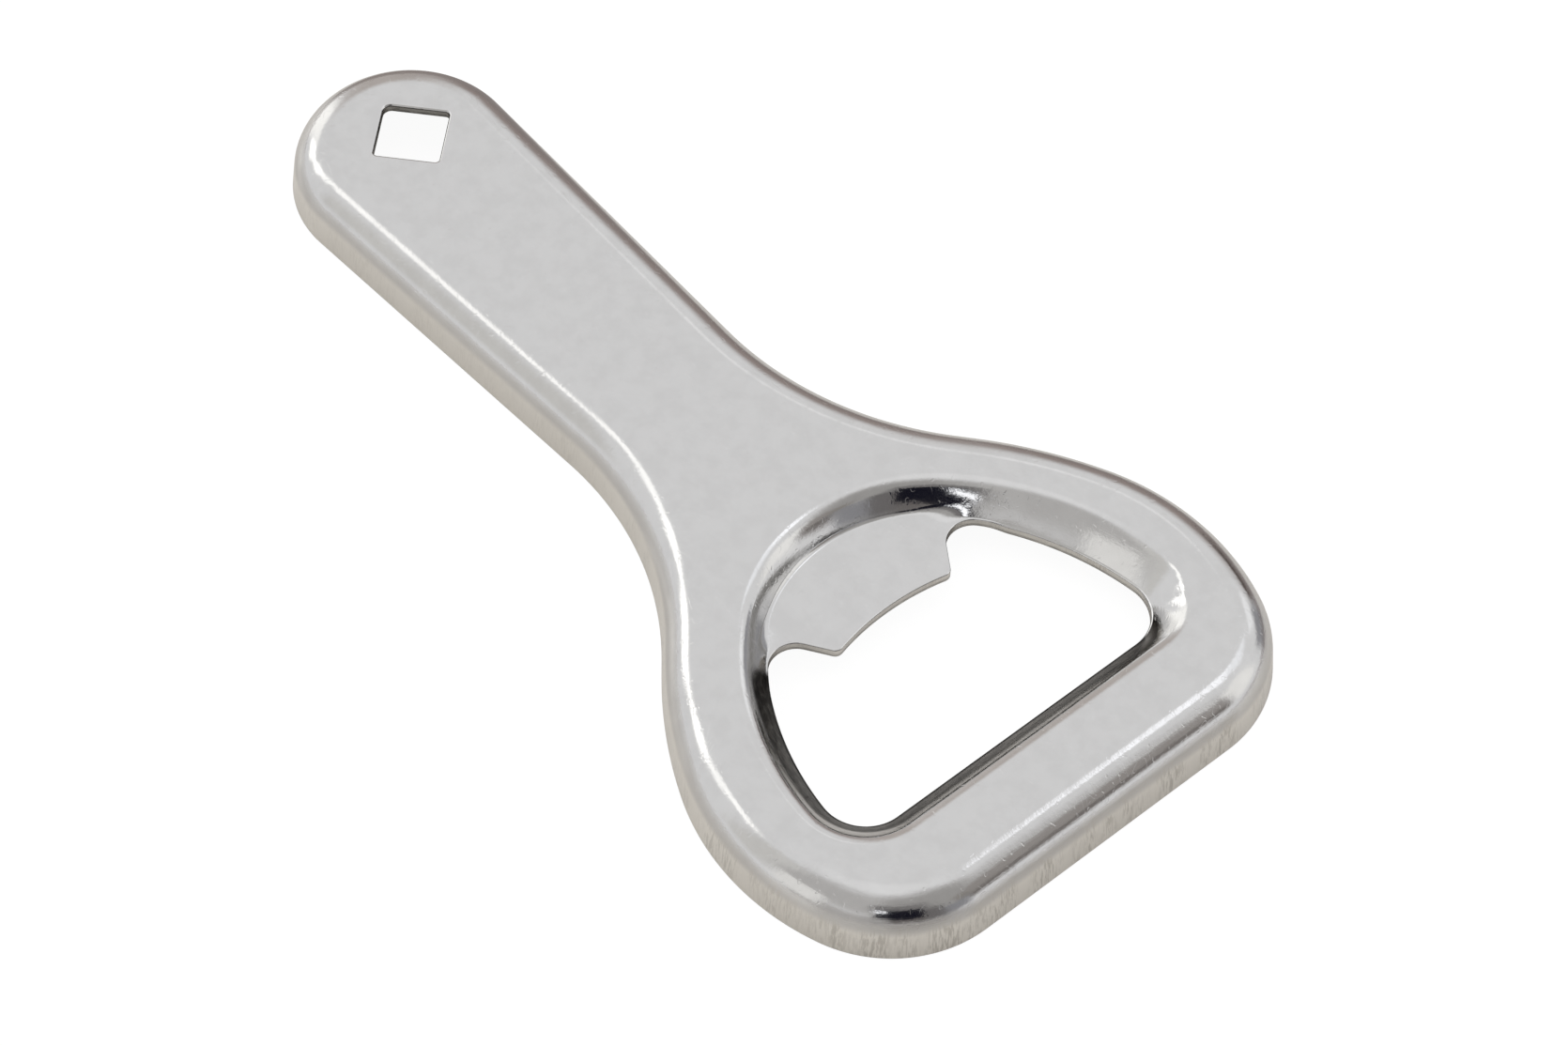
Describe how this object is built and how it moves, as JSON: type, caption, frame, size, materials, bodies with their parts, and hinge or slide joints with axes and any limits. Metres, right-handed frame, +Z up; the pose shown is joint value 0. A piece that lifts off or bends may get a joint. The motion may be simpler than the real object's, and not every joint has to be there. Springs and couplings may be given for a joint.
{
  "type": "bottle opener",
  "caption": "Hand-size bottle opener pressed from one plated steel sheet: a flat handle with a square hanging hole, and a wide head with a sunken cap opening and a tab.",
  "frame": {"origin": "middle of the footprint, on the plane of the skirt's rim", "axes": "+X from the handle to the head, +Y across, +Z up out of the top face"},
  "size_m": [0.11, 0.0568, 0.0064],
  "materials": {
    "plated_steel": "bright nickel plate over pressed steel, softly reflective with fine handling scratches; faint upright draw marks on the skirt"
  },
  "bodies": {
    "root": {"opener_body": "plated_steel"}
  },
  "joints": []
}
